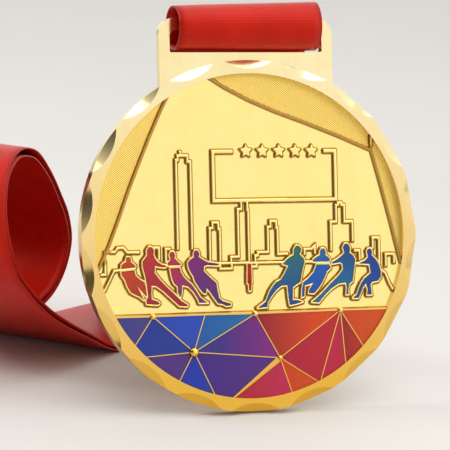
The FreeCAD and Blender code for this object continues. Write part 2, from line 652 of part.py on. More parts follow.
fold_arc = Part.Arc(fold_top, fold_edge + RUN * fold_reach, fold_low).toShape()
fold_wire = Part.Wire([fold_arc, Part.makeLine(fold_low, fold_top)])
fold.Shape = Part.Face(fold_wire).extrude(ACROSS * size("ribbon_width"))

# Curl: the strand lifts off the table on the left, makes one open turn and ends
# inside it in the neck fold.  Profile distances run along the lift, up, and along
# the curl's axis.
CURL = [
    (0, 1.0, 0), (8.7, 4.9, 1.9), (18.9, 10.2, 4.0), (30.6, 19.0, 7.0), (34.7, 24.0, 8.4),
    (36.3, 30.0, 9.8), (35.6, 36.6, 11.3), (32.2, 42.6, 12.6), (25.6, 45.7, 13.6),
    (15.8, 44.4, 14.3), (8.0, 39.6, 14.8), (0.1, 32.4, 15.2), (-5.8, 25.4, 15.5),
    (-7.6, 21.0, 15.7), (-5.9, 15.4, 16.0), (0.4, 10.2, 16.8), (7.2, 9.1, 17.8),
    (14.2, 12.0, 18.8), (19.6, 16.8, 20.0), (22.4, 22.8, 21.5), (21.4, 29.0, 22.5),
]
curl_middles = []
for along, up, axial in CURL:
    corner = LIFT_CORNER + CURL_OUT * along + CURL_AXIS * axial + Vec(0, 0, up)
    curl_middles.append(corner + CURL_AXIS * (size("ribbon_width") / 2))
curl_stations = []
for middle, (_, _, normal) in zip(curl_middles, stations_along(curl_middles,
                                                               [CURL_AXIS] * len(CURL))):
    curl_stations.append((middle, CURL_AXIS, normal))
curl = ribbon_stretch("ribbon_curl", curl_stations, "curl_thick")

# A sewn patch holds the two strands together just below the bar loop.
stitch = doc.addObject("Part::Feature", "ribbon_stitch_patch")
stitch.Label = "ribbon_stitch_patch"
patch = Part.makeBox(24.0, 0.3, 6.0, Vec(-12.0, 23.76, 68.4))
patch.rotate(Vec(0, 23.76, 74.4), Vec(1, 0, 0), 3.25)
stitch.Shape = patch
doc.recompute()

# --------------------------------------------------------------- checks and export
medal_nodes = [medal] + fills
ribbon_nodes = [bar_loop, sling, upper_lay, lower_lay, fold, curl, stitch]

failed = [thing.Name for thing in doc.Objects
          if "Invalid" in thing.State or "Error" in thing.State]
if failed:
    raise RuntimeError("objects that did not compute: %s" % ", ".join(failed))

os.makedirs("parts", exist_ok=True)
for node in medal_nodes + ribbon_nodes:
    shape = node.Shape.copy()
    if node in medal_nodes:
        shape.Placement = MEDAL_PLACE.multiply(shape.Placement)
    if shape.isNull() or not shape.isValid() or len(shape.Solids) != 1:
        raise RuntimeError("%s has no single valid solid" % node.Label)
    shape.exportStep("parts/%s.step" % node.Label)
    print("%-24s %9.2f mm3" % (node.Label, shape.Volume))
print(len(medal_nodes + ribbon_nodes), "nodes")
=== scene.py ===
"""Looks of the finisher medal: relief face, enamel, gold plate and satin neck ribbon."""
import json
import math

import bpy
import numpy as np
from mathutils import Matrix, Vector

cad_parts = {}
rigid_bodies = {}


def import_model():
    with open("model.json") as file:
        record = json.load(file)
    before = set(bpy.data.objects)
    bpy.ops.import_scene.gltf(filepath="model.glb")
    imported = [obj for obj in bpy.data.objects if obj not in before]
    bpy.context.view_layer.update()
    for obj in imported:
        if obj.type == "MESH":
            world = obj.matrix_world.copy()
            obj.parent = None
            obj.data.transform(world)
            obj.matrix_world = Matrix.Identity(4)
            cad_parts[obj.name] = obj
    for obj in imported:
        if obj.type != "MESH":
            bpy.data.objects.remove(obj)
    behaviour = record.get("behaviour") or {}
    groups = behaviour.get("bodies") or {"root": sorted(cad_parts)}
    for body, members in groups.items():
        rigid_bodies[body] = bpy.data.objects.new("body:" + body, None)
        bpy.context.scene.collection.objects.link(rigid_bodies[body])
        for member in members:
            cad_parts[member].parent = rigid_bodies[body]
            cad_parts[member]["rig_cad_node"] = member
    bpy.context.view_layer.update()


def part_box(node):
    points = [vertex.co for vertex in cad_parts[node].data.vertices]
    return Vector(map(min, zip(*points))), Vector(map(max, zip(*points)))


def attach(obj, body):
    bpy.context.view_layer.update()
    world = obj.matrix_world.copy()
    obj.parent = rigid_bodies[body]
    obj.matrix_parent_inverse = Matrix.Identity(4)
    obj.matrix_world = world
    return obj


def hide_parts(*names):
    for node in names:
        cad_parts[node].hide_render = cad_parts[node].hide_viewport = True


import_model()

# --------------------------------------------------------------- artwork frame
# x right, y up, z out of the face, in millimetres, from the disc's centre on the
# rim's front plane; row frame in metres.
LEAN = math.radians(14)
RIGHT = np.array([1.0, 0.0, 0.0])
UP = np.array([0.0, math.sin(LEAN), math.cos(LEAN)])
OUT = np.array([0.0, -math.cos(LEAN), math.sin(LEAN)])
CENTRE = (35 * UP + 3 * OUT) / 1000
ART_AXES = np.array([RIGHT, UP, OUT])


def to_art(points):
    """Row-frame points in metres as artwork points in millimetres."""
    return (np.asarray(points) - CENTRE) @ ART_AXES.T * 1000


def to_row(points):
    """Artwork points in millimetres as row-frame points in metres."""
    return np.asarray(points) @ ART_AXES / 1000 + CENTRE


cad = {o["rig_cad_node"] if isinstance(o.get("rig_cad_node"), str) else o.name: o
       for o in bpy.context.scene.objects if "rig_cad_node" in o}


def triangles(node):
    """Corners of a CAD node's triangles in the artwork frame, as (count, 3, 3)."""
    mesh = cad[node].data
    mesh.calc_loop_triangles()
    corners = np.empty(len(mesh.loop_triangles) * 3, np.int32)
    mesh.loop_triangles.foreach_get("vertices", corners)
    points = np.empty(len(mesh.vertices) * 3)
    mesh.vertices.foreach_get("co", points)
    return to_art(points.reshape(-1, 3))[corners.reshape(-1, 3)]


def flat_at(corners, height):
    """The triangles that lie in one plane of the artwork."""
    level = np.abs(corners[:, :, 2] - height).max(axis=1) < 0.004
    return corners[level]


# --------------------------------------------------------------- relief surface
STEP = 0.1           # spacing of the height grid
FIELD_R = 32.35      # rim's inner radius
TOP = -0.4           # level of the CAD's raised tops
FILL_DROP = 0.1      # enamel lies this far below its walls
HALF = int(FIELD_R / STEP) + 3
axis = np.arange(-HALF, HALF + 1) * STEP
GX, GY = np.meshgrid(axis, axis)


def window(low, high):
    """Grid slices that cover a box of the artwork."""
    a = np.maximum(np.floor(low / STEP).astype(int) + HALF, 0)
    b = np.minimum(np.ceil(high / STEP).astype(int) + HALF + 1, 2 * HALF + 1)
    return slice(a[1], b[1]), slice(a[0], b[0])


def covered(corners):
    """Grid points under any of the triangles."""
    mask = np.zeros(GX.shape, bool)
    for tri in corners[:, :, :2]:
        area = np.linalg.det([tri[1] - tri[0], tri[2] - tri[0]])
        if abs(area) < 1e-9:
            continue
        spot = window(tri.min(axis=0), tri.max(axis=0))
        x, y = GX[spot], GY[spot]
        inside = np.ones(x.shape, bool)
        for k in range(3):
            ax, ay = tri[k]
            bx, by = tri[(k + 1) % 3]
            side = ((bx - ax) * (y - ay) - (by - ay) * (x - ax)) * np.sign(area)
            inside &= side >= -1e-6
        mask[spot] |= inside
    return mask


def outline_segments(corners):
    """Edges used by one triangle only: the outlines of a flat region."""
    found = {}
    for tri in np.round(corners[:, :, :2], 3):
        for k in range(3):
            a, b = tuple(tri[k]), tuple(tri[(k + 1) % 3])
            key = (min(a, b), max(a, b))
            found[key] = found.get(key, 0) + 1
    segments = np.array([key for key, count in found.items() if count == 1])
    from_centre = np.hypot(segments[:, :, 0], segments[:, :, 1])
    return segments[~(from_centre > FIELD_R - 0.05).all(axis=1)]


def distance_to(segments, reach):
    """Distance from each grid point to the nearest segment, up to reach."""
    distance = np.full(GX.shape, reach)
    for a, b in segments:
        spot = window(np.minimum(a, b) - reach, np.maximum(a, b) + reach)
        x, y = GX[spot] - a[0], GY[spot] - a[1]
        run = b - a
        along = np.clip((x * run[0] + y * run[1]) / max(run @ run, 1e-9), 0, 1)
        found = np.hypot(x - along * run[0], y - along * run[1])
        distance[spot] = np.minimum(distance[spot], found)
    return distance


blank = triangles("medal_blank")
raised = flat_at(blank, TOP)
top_mask = covered(raised)
cell_mask = np.zeros(GX.shape, bool)
enamel_names = sorted(name for name in cad if name.startswith("enamel_"))
for name in enamel_names:
    cell_mask |= covered(flat_at(triangles(name), TOP - FILL_DROP))
REACH = 0.5
gap = distance_to(outline_segments(raised), REACH)

# The artwork's hatched panels lie between these borders and the rim.
LEFT_EDGE = [(-31.8, -6.2), (-29.4, -1.3), (-27.6, 3.1), (-25.1, 9.6), (-23.0, 14.6),
             (-20.7, 19.9), (-18.5, 24.6), (-16.5, 28.4)]
TOP_EDGE = [(-8.3, 31.6), (-4.9, 29.5), (0.0, 27.0), (5.5, 24.7), (11.6, 22.5),
            (18.6, 19.8), (25.9, 16.7)]
RIGHT_EDGE = [(31.8, -6.2), (29.8, 2.1), (27.7, 10.2), (25.9, 16.7)]
border_runs = [np.array(line[k:k + 2]) for line in (LEFT_EDGE, TOP_EDGE, RIGHT_EDGE)
               for k in range(len(line) - 1)]
near_border = distance_to(border_runs, 1.0) < 0.9

# Width of the sloping sides: on the panel borders, elsewhere, and inside enamel cells.
BORDER_DRAFT = 0.15
DRAFT = 0.30
CELL_DRAFT = 0.14
EDGE_LEVEL = -0.385  # where a raised top meets its sides
CROWN = 0.06         # its middle stands this far above that
CROWN_REACH = 0.13
FALL = 0.49          # from a top's edge down to the field
FOOT_REACH = 0.15
FOOT_LIFT = 0.02
slope_width = np.where(cell_mask, CELL_DRAFT, np.where(near_border, BORDER_DRAFT, DRAFT))
outside = np.clip(gap / slope_width, 0, 1)
inside = np.clip(gap / CROWN_REACH, 0, 1)
height = np.where(top_mask, EDGE_LEVEL + CROWN * (1 - (1 - inside) ** 2),
                  EDGE_LEVEL - FALL * outside)
# Soft foot where a side meets the field.
foot = np.clip((gap - slope_width) / FOOT_REACH, 0, 1)
height += np.where(~top_mask & ~cell_mask, FOOT_LIFT * (1 - foot) * outside, 0)
# How much of a side each point is: the weight of the painted shade that deepens the sloping sides
# and the edges of the raised tops.
side = np.where(top_mask, (1 - inside) * 0.35, np.clip(1.0 - foot, 0, 1))
# Painted shade: the tops of the panel borders are given a deep colour too.
side = np.where(top_mask & near_border, 0.8, side)

PANEL_FOOT = -6
TOP_PANEL_LEFT = -8
RIGHT_PANEL_HEAD = 19
left_x = np.interp(GY, [y for _, y in LEFT_EDGE], [x for x, _ in LEFT_EDGE])
top_y = np.interp(GX, [x for x, _ in TOP_EDGE], [y for _, y in TOP_EDGE])
right_x = np.interp(GY, [y for _, y in RIGHT_EDGE], [x for x, _ in RIGHT_EDGE])
panel = ((GX < left_x) & (GY > PANEL_FOOT)) | ((GY > top_y) & (GX > TOP_PANEL_LEFT)) | \
    ((GX > right_x) & (GY > PANEL_FOOT) & (GY < RIGHT_PANEL_HEAD))

# Beyond the field's edge the surface repeats the height just inside it.
EDGE_R = FIELD_R - 0.1
radius = np.hypot(GX, GY)
pull = np.minimum(1, EDGE_R / np.maximum(radius, 1e-6))
row_of = np.rint(GY * pull / STEP).astype(int) + HALF
column_of = np.rint(GX * pull / STEP).astype(int) + HALF
height = np.where(radius > EDGE_R, height[row_of, column_of], height)


def mesh_object(name, vertices, faces, smooth=True):
    """A new mesh object in the scene."""
    mesh = bpy.data.meshes.new(name)
    mesh.vertices.add(len(vertices))
    mesh.vertices.foreach_set("co", np.asarray(vertices, np.float32).ravel())
    faces = np.asarray(faces, np.int32)
    mesh.loops.add(faces.size)
    mesh.loops.foreach_set("vertex_index", faces.ravel())
    mesh.polygons.add(len(faces))
    mesh.polygons.foreach_set("loop_start", np.arange(len(faces), dtype=np.int32) * faces.shape[1])
    mesh.update(calc_edges=True)
    mesh.validate()
    mesh.polygons.foreach_set("use_smooth", [smooth] * len(mesh.polygons))
    thing = bpy.data.objects.new(name, mesh)
    bpy.context.scene.collection.objects.link(thing)
    return thing


# Below this line the enamel band's own fine lines show instead.
BAND_LINE = -15.3
TUCK = 0.16          # the surface runs this far in under the rim's wall
keep = (radius < FIELD_R + TUCK) & (GY > BAND_LINE)
number = np.full(GX.shape, -1)
number[keep] = np.arange(keep.sum())
quads = np.stack([number[:-1, :-1], number[:-1, 1:], number[1:, 1:], number[1:, :-1]], -1)
quads = quads.reshape(-1, 4)
quads = quads[(quads >= 0).all(axis=1)]
face = mesh_object("relief_face", to_row(np.stack([GX[keep], GY[keep], height[keep]], -1)), quads)
for key, values in {"side": side, "panel": panel}.items():
    layer = face.data.attributes.new(key, "FLOAT", "POINT")
    layer.data.foreach_set("value", values[keep].astype(np.float32))


# --------------------------------------------------------------- materials
def linear(red, green, blue):
    """An sRGB colour from 0 to 255 as linear RGBA."""
    values = [v / 255 for v in (red, green, blue)]
    return [v / 12.92 if v < 0.04045 else ((v + 0.055) / 1.055) ** 2.4 for v in values] + [1.0]


class Look:
    """A material under construction."""

    def __init__(self, name, **settings):
        self.material = bpy.data.materials.new(name)
        self.material.use_nodes = True
        self.tree = self.material.node_tree
        self.base = self.tree.nodes["Principled BSDF"]
        self.set(self.base, settings)

    def set(self, node, settings):
        for key, value in settings.items():
            socket = node.inputs[key if isinstance(key, int) else key.replace("_", " ")]
            if isinstance(value, bpy.types.NodeSocket):
                self.tree.links.new(value, socket)
            else:
                socket.default_value = value

    def add(self, kind, output=0, inputs=None, **properties):
        node = self.tree.nodes.new("ShaderNode" + kind)
        for key, value in properties.items():
            setattr(node, key, value)
        self.set(node, inputs or {})
        return node.outputs[output]

    def place(self):
        return self.add("TexCoord", "Object")

    def math(self, operation, a, b=0.0):
        return self.add("Math", 0, {0: a, 1: b}, operation=operation)

    def ramp(self, value, low, high):
        """Value stretched from low..high to 0..1."""
        return self.add("MapRange", 0, {"Value": value, "From Min": low, "From Max": high})

    def mix(self, factor, a, b):
        return self.add("Mix", 2, {0: factor, 6: a, 7: b}, data_type="RGBA")

    def noise(self, scale, detail=3.0, rough=0.5, vector=None):
        return self.add("TexNoise", 0, {"Vector": vector or self.place(), "Scale": scale,
                                        "Detail": detail, "Roughness": rough})

    def bump(self, height_socket, distance, strength=1.0):
        normal = self.add("Bump", 0, {"Height": height_socket, "Distance": distance,
                                      "Strength": strength})
        self.set(self.base, {"Normal": normal})


PALE_GOLD = (1.0, 0.82, 0.29, 1)
LIGHT_GOLD = (1.0, 0.86, 0.34, 1)
DEEP_GOLD = (0.36, 0.15, 0.006, 1)
RICH_GOLD = (0.82, 0.56, 0.12, 1)
RIM_GOLD = (1.0, 0.87, 0.50, 1)
WARM_GOLD = (0.80, 0.46, 0.06, 1)
# Heights in metres over which the blank's painted reflection fades from warm and dark at the
# bottom to pale at the top.
WARM_BELOW, PALE_ABOVE = 0.006, 0.062


def gold_face():
    """Pale plated field, with painted shade deepening the drafted sides, hatched in the panels."""
    look = Look("gold_face", Metallic=1.0)
    painted_side_shade = look.add("Attribute", 2, attribute_name="side")
    hatched = look.add("Attribute", 2, attribute_name="panel")
    cloud = look.noise(260, 4, 0.6)
    field = look.mix(look.ramp(cloud, 0.3, 0.75), PALE_GOLD, LIGHT_GOLD)
    lines = look.add("TexWave", 0, {"Vector": look.place(), "Scale": 1150.0, "Distortion": 1.4,
                                     "Detail": 2.0, "Detail Scale": 0.7},
                     wave_type="BANDS", bands_direction="DIAGONAL")
    hatch = look.mix(lines, DEEP_GOLD, PALE_GOLD)
    patchy = look.ramp(look.noise(750, 3, 0.7), 0.25, 0.7)
    faint = look.add("MapRange", 0, {"Value": patchy, "To Min": 0.35, "To Max": 0.8})
    hatch = look.mix(faint, hatch, RICH_GOLD)
    colour = look.mix(hatched, field, hatch)
    # Painted shade: the sloping sides are coloured towards deep gold.
    colour = look.mix(look.math("MULTIPLY", painted_side_shade, 0.95), colour, DEEP_GOLD)
    grain = look.noise(5200, 2, 0.6)
    worn = look.noise(900, 3, 0.6)
    rough = look.math("ADD", look.math("MULTIPLY", worn, 0.08), 0.20)
    rough = look.math("ADD", rough, look.math("MULTIPLY", hatched, 0.06))
    rough = look.math("ADD", rough, look.math("MULTIPLY", painted_side_shade, 0.26))
    look.set(look.base, {"Base Color": colour, "Roughness": rough})
    relief = look.math("ADD", look.math("MULTIPLY", grain, 0.02),
                       look.math("MULTIPLY", look.math("MULTIPLY", lines, hatched), 1.6))
    look.bump(relief, 0.00004, 0.9)
    return look.material


def gold_blank():
    """Polished rim, bar and back of the casting, with a painted reflection that makes it warmer
    and darker towards the bottom.
    """
    look = Look("gold_blank", Metallic=1.0)
    # Painted reflection: the plating is coloured warmer and darker low down, as if it reflected
    # dark surroundings.
    painted_reflection_fade = look.ramp(look.add("SeparateXYZ", 2, {0: look.place()}), WARM_BELOW, PALE_ABOVE)
    plate = look.mix(painted_reflection_fade, WARM_GOLD, RIM_GOLD)
    cloud = look.ramp(look.noise(180, 4, 0.6), 0.3, 0.7)
    look.set(look.base, {
        "Base Color": look.mix(look.math("MULTIPLY", cloud, 0.18), plate, WARM_GOLD),
        "Roughness": look.math("ADD", look.math("MULTIPLY", look.noise(500, 3, 0.6), 0.06), 0.12)})
    look.bump(look.noise(300, 2, 0.5), 0.00003, 0.04)
    return look.material


# The listed shades are as lit; the pigment itself is a little deeper.
DEPTH = 0.94


def enamel(name, first, second, start, end, along):
    """Glossy poured colour that may fade from one shade to another."""
    look = Look(name, Roughness=0.2, Specular_IOR_Level=0.12, Coat_Weight=0.08,
                Coat_Roughness=0.04)
    axis_value = look.add("SeparateXYZ", along, {0: look.place()})
    fade = look.ramp(axis_value, start, end)
    first, second = ([v * DEPTH for v in shade] for shade in (first, second))
    colour = look.mix(fade, linear(*first), linear(*second))
    grain = look.ramp(look.noise(1500, 3, 0.6), 0.35, 0.65)
    darker = look.mix(0.07, colour, (0, 0, 0, 1))
    look.set(look.base, {"Base Color": look.mix(grain, darker, colour)})
    look.bump(look.noise(420, 2, 0.5), 0.00006, 0.35)
    return look.material


# Two shades and the stretch they fade over: x in millimetres, or height for athletes.
BAND_SHADES = {
    "enamel_band_01": ((64, 66, 145), (78, 74, 135), -30, -21),
    "enamel_band_02": ((48, 64, 155), (46, 66, 150), -24, -13),
    "enamel_band_03": ((50, 76, 178), (52, 82, 190), -20, -10),
    "enamel_band_04": ((48, 92, 172), (44, 118, 168), -12, 0),
    "enamel_band_05": ((82, 58, 135), (90, 58, 130), -22, -13),
    "enamel_band_06": ((45, 60, 178), (48, 66, 170), -16, -9),
    "enamel_band_07": ((70, 50, 140), (96, 54, 130), -12, 5),
    "enamel_band_08": ((70, 58, 138), (138, 48, 130), -7, 5),
    "enamel_band_09": ((150, 42, 52), (218, 78, 40), 1, 13),
    "enamel_band_10": ((176, 42, 66), (192, 48, 56), 6, 17),
    "enamel_band_11": ((190, 46, 80), (190, 50, 70), 14, 19),
    "enamel_band_12": ((150, 44, 50), (192, 60, 45), 18, 23),
    "enamel_band_13": ((206, 72, 44), (216, 90, 42), 18, 28),
    "enamel_band_14": ((180, 48, 62), (196, 50, 88), -3, 7),
    "enamel_band_15": ((208, 72, 38), (210, 82, 42), 6, 12),
}
ATHLETE_SHADES = {
    "enamel_left_1_upper": ((205, 80, 48), (190, 66, 44)),
    "enamel_left_1_lower": ((196, 74, 46), (182, 58, 50)),
    "enamel_left_2": ((192, 60, 56), (165, 44, 72)),
    "enamel_left_3_upper": ((190, 58, 78), (178, 54, 92)),
    "enamel_left_3_lower": ((184, 54, 76), (104, 60, 142)),
    "enamel_left_4": ((138, 46, 116), (76, 60, 130)),
    "enamel_right_1": ((56, 116, 106), (44, 76, 165)),
    "enamel_right_2_upper": ((52, 112, 160), (46, 100, 178)),
    "enamel_right_2_lower": ((44, 98, 182), (44, 84, 178)),
    "enamel_right_3": ((44, 78, 146), (46, 116, 162)),
    "enamel_right_4": ((42, 70, 158), (44, 84, 154)),
    "enamel_marker_flag": ((198, 34, 28), (180, 24, 22)),
}
for name, (first, second, start, end) in BAND_SHADES.items():
    cad[name].data.materials.clear()
    cad[name].data.materials.append(enamel(name, first, second, start / 1000, end / 1000, 0))
for name, (upper, lower) in ATHLETE_SHADES.items():
    low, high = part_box(name)
    cad[name].data.materials.clear()
    cad[name].data.materials.append(enamel(name, lower, upper, low.z, high.z, 2))

blank_node = cad["medal_blank"]
blank_node.data.materials.clear()
blank_node.data.materials.append(gold_blank())
edges = blank_node.modifiers.new("edges", "BEVEL")
edges.width = 0.00009
edges.segments = 2
edges.limit_method = "ANGLE"
edges.angle_limit = math.radians(28)
face.data.materials.append(gold_face())
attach(face, "medal")


# --------------------------------------------------------------- neck ribbon
WIDTH = 30.0
CURL_AXIS = np.array([-0.785, 0.62, 0.0])
CURL_OUT = np.array([-0.62, -0.785, 0.0])
LIFT_CORNER = np.array([-15.3, 43.6, 0.0])
RUN = np.array([0.844, 0.536, 0.0])
ACROSS = np.array([0.536, -0.844, 0.0])


def turned(degrees):
    """The direction across the strip, turned about the vertical from +X."""
    angle = math.radians(degrees)
    return [math.cos(angle), -math.sin(angle), 0.0]


def on_table(distance, level):
    """Strip's middle on the table, so far behind the line where it lifts."""
    middle = LIFT_CORNER + CURL_AXIS * WIDTH / 2 + RUN * distance
    return [middle[0], middle[1], level]


# Stations of the doubled strand: middle, direction across, half the gap between plies.
SLING = [
    (0.0, 23.0, 69.5, 0, 0.30), (0.4, 23.7, 66.0, 1, 0.30), (0.9, 25.4, 60.0, 5, 0.35),
    (1.0, 30.0, 50.0, 14, 0.45), (0.0, 36.4, 40.0, 25, 0.5), (-1.9, 44.0, 30.0, 36, 0.5),
    (-3.9, 51.8, 20.5, 46, 0.5), (-4.6, 58.6, 12.0, 53, 0.45), (-3.2, 64.2, 5.9, 57, 0.4),
    (0.6, 68.3, 3.1, 57.6, 0.35),
]
# Curl: outwards, up and along its axis from the near corner of the lifting line.
CURL = [
    (0, 0.75, 0), (4.2, 2.4, 0.9), (8.7, 4.8, 1.9), (13.8, 7.4, 2.9), (18.9, 10.2, 4.0),
    (25.2, 14.3, 5.5), (30.6, 19.0, 7.0), (34.7, 24.0, 8.4), (36.3, 30.0, 9.8),
    (35.6, 36.6, 11.3), (32.2, 42.6, 12.6), (25.6, 45.7, 13.6), (15.8, 44.4, 14.3),
    (8.0, 39.6, 14.8), (0.1, 32.4, 15.2), (-5.8, 25.4, 15.5), (-7.6, 21.0, 15.7),
    (-5.9, 15.4, 16.0), (0.4, 10.2, 16.8), (7.2, 9.1, 17.8), (14.2, 12.0, 18.8),
    (19.6, 16.8, 20.0), (22.4, 22.8, 21.5), (21.4, 29.0, 22.5),
]
stations = [[x, y, z, *turned(t), h] for x, y, z, t, h in SLING]
for distance in (44, 56, 72, 84, 87.4):
    stations.append([*on_table(distance, 2.1), *ACROSS, 0.3])
for angle in (60, 30, 0, -30, -60):
    turn = math.radians(angle)
    stations.append([*on_table(87.6 + 0.75 * math.cos(turn), 1.35 + 0.75 * math.sin(turn)),
                     *ACROSS, 0.26])
for distance in (87.4, 84, 66, 44, 24):
    stations.append([*on_table(distance, 0.6), *ACROSS, 0.3])
stations.append([*on_table(11, 0.6), *(ACROSS * 0.4 - CURL_AXIS * 0.6), 0.32])
for k, (along, up, axial) in enumerate(CURL):
    middle = LIFT_CORNER + CURL_OUT * along + CURL_AXIS * (axial + WIDTH / 2)
    gap_half = min(0.34 + 0.04 * k, 0.75) if k < 19 else 0.5
    stations.append([middle[0], middle[1], up, *(-CURL_AXIS), gap_half])


def smooth_path(points, spacing):
    """Points along a smooth curve through the given ones, about spacing apart."""
    points = np.array(points, float)
    chords = np.maximum(np.linalg.norm(np.diff(points[:, :3], axis=0), axis=1), 1e-6)
    slopes = np.diff(points, axis=0) / chords[:, None]
    tangents = np.vstack([slopes[:1], (slopes[:-1] * chords[1:, None] + slopes[1:] *
                          chords[:-1, None]) / (chords[1:] + chords[:-1])[:, None], slopes[-1:]])
    rows = [points[:1]]
    for k, chord in enumerate(chords):
        count = max(1, int(math.ceil(chord / spacing)))
        t = (np.arange(1, count + 1) / count)[:, None]
        rows.append((2 * t**3 - 3 * t**2 + 1) * points[k] + (t**3 - 2 * t**2 + t) * chord *
                    tangents[k] + (3 * t**2 - 2 * t**3) * points[k + 1] + (t**3 - t**2) * chord *
                    tangents[k + 1])
    return np.vstack(rows)


def unit(vectors):
    return vectors / np.linalg.norm(vectors, axis=-1, keepdims=True)


path = smooth_path(stations, 1.1)
middles, acrosses, halves = path[:, :3], unit(path[:, 3:6]), path[:, 6]
runs = unit(np.gradient(middles, axis=0))
normals = unit(np.cross(acrosses, runs))

# One closed band: out along one ply, round the neck fold, back along the other ply
# and over the medal's bar.
outer = np.hstack([middles + normals * halves[:, None], acrosses])
inner = np.hstack([middles - normals * halves[:, None], acrosses])
end_turn = []
for angle in (60, 20, -20, -60):
    turn = math.radians(angle)
    point = middles[-1] + normals[-1] * halves[-1] * math.sin(turn) + \
        runs[-1] * halves[-1] * math.cos(turn)
    end_turn.append([*point, *acrosses[-1]])
HINGE = np.array([0.0, 17.597, 74.712])
LOOP = [(-62, 5.35), (-84, 4.62), (-110, 4.55), (-140, 4.5), (-170, 4.55), (-200, 4.6),
        (-230, 4.65), (-260, 4.7), (-285, 4.72), (-310, 4.7), (-335, 4.72), (-357, 5.0)]
loop = []
for angle, reach in LOOP:
    turn = math.radians(angle + 8)
    loop.append([0.0, HINGE[1] + reach * math.cos(turn), HINGE[2] + reach * math.sin(turn),
                 1.0, 0.0, 0.0])
if inner[0][1] > outer[0][1]:
    loop = loop[::-1]
loop = smooth_path([list(inner[1]), list(inner[0]), *loop, list(outer[0]), list(outer[1])], 0.7)
loop = loop[3:-3]
band = np.vstack([outer, end_turn, inner[::-1], loop])

COLUMNS = 16
TABLE_CLEARANCE = 0.17
share = np.linspace(-1, 1, COLUMNS + 1)
reach = WIDTH / 2 - 0.15
centres, sideways = band[:, :3], unit(band[:, 3:6])
steps = np.linalg.norm(np.diff(centres, axis=0, append=centres[:1]), axis=1)
travel = np.concatenate([[0], np.cumsum(steps)])[:-1]
forward = unit(np.roll(centres, -1, axis=0) - np.roll(centres, 1, axis=0))
lifted = unit(np.cross(sideways, forward))
grid = centres[:, None, :] + sideways[:, None, :] * (share * reach)[None, :, None]
ripple = 0.09 * np.sin(travel / 6.1)[:, None] * np.sin(share * 2.2 + travel[:, None] / 17)
camber = 0.10 * (1 - share**2)[None, :]
calm = np.clip((grid[:, :1, 2] - 2.6) / 3, 0, 1)
grid = grid + lifted[:, None, :] * ((ripple + camber) * calm)[..., None]
# The loop sits a little askew on the bar: its crown is higher at the right.
# It turns about a point near its right end, so that it stays inside the swinging slot.
SKEW = 0.035
SKEW_PIVOT = 9.0
CROWN_HEIGHT = 4.7
on_bar = grid[-len(loop):]
crown = np.clip((on_bar[..., 2] - HINGE[2]) / CROWN_HEIGHT, 0, 1)**2
on_bar[..., 2] += SKEW * (on_bar[..., 0] - SKEW_PIVOT) * crown
# Nothing sinks below the table: half the satin's thickness is kept clear of it.
grid[..., 2] = np.maximum(grid[..., 2], TABLE_CLEARANCE)
rows_total, columns_total = grid.shape[:2]
index = np.arange(rows_total * columns_total).reshape(rows_total, columns_total)
following = np.roll(index, -1, axis=0)
ribbon_faces = np.stack([index[:, :-1], index[:, 1:], following[:, 1:], following[:, :-1]], -1)
ribbon = mesh_object("neck_ribbon", grid.reshape(-1, 3) / 1000, ribbon_faces.reshape(-1, 4))
weave = ribbon.data.uv_layers.new(name="weave")
uv = np.stack([np.broadcast_to(share * WIDTH / 2, grid.shape[:2]),
               np.broadcast_to(travel[:, None], grid.shape[:2])], -1).reshape(-1, 2)
loops = np.empty(len(ribbon.data.loops), np.int32)
ribbon.data.loops.foreach_get("vertex_index", loops)
weave.data.foreach_set("uv", uv[loops].astype(np.float32).ravel())
thick = ribbon.modifiers.new("thickness", "SOLIDIFY")
thick.thickness = 0.00030
thick.offset = 0.0


def satin():
    """Tightly woven red satin with a firm selvedge at each side."""
    look = Look("satin", Roughness=0.36, Specular_IOR_Level=0.75,
                Specular_Tint=(1.0, 0.16, 0.12, 1))
    where = look.add("UVMap", 0, uv_map="weave")
    across = look.math("ABSOLUTE", look.add("SeparateXYZ", 0, {0: where}))
    along = look.add("SeparateXYZ", 1, {0: where})
    warp = look.math("SINE", look.math("MULTIPLY", across, 2 * math.pi / 0.42))
    weft = look.math("SINE", look.math("MULTIPLY", along, 2 * math.pi / 0.55))
    selvedge = look.math("GREATER_THAN", across, WIDTH / 2 - 0.9)
    threads = look.math("ADD", look.math("MULTIPLY", warp, 0.12), look.math("MULTIPLY", weft, 0.5))
    uneven = look.noise(160, 4, 0.6)
    base = look.mix(look.ramp(uneven, 0.3, 0.7), (0.44, 0.009, 0.003, 1), (0.54, 0.012, 0.004, 1))
    streak = look.ramp(weft, -1.0, 1.0)
    base = look.mix(look.math("MULTIPLY", streak, 0.18), base, (0.28, 0.006, 0.003, 1))
    base = look.mix(look.math("MULTIPLY", selvedge, 0.35), base, (0.30, 0.008, 0.004, 1))
    look.set(look.base, {"Base Color": base})
    look.bump(look.math("ADD", threads, look.math("MULTIPLY", selvedge, 0.8)), 0.00004, 0.6)
    return look.material


ribbon.data.materials.append(satin())
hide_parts("ribbon_bar_loop", "ribbon_sling", "ribbon_upper_lay", "ribbon_lower_lay",
            "ribbon_fold", "ribbon_curl")
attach(ribbon, "ribbon")

# Lock stitches that hold the two plies together below the bar: a box with a cross.
behind = smooth_path([[*m, *a, h] for m, a, h in
                      zip(middles[:14], acrosses[:14], halves[:14])], 0.25)
drop = 70.6 - behind[:, 2]


def on_back(x, down):
    """A point on the ribbon's back ply, x across and so far below the loop."""
    k = int(np.argmin(np.abs(drop - down)))
    return behind[k, :3] + unit(behind[k, 3:6]) * x + np.array([0, behind[k, 6] + 0.22, 0])


def stitch_run(start, end, pitch=1.7):
    """Stitches along a straight line of the sewn box, as start and end points."""
    start, end = np.array(start, float), np.array(end, float)
    count = int(round(np.linalg.norm(end - start) / pitch))
    runs_made = []
    for k in range(count):
        a = start + (end - start) * (k + 0.15) / count
        b = start + (end - start) * (k + 0.85) / count
        runs_made.append((on_back(*a), on_back(*b)))
    return runs_made


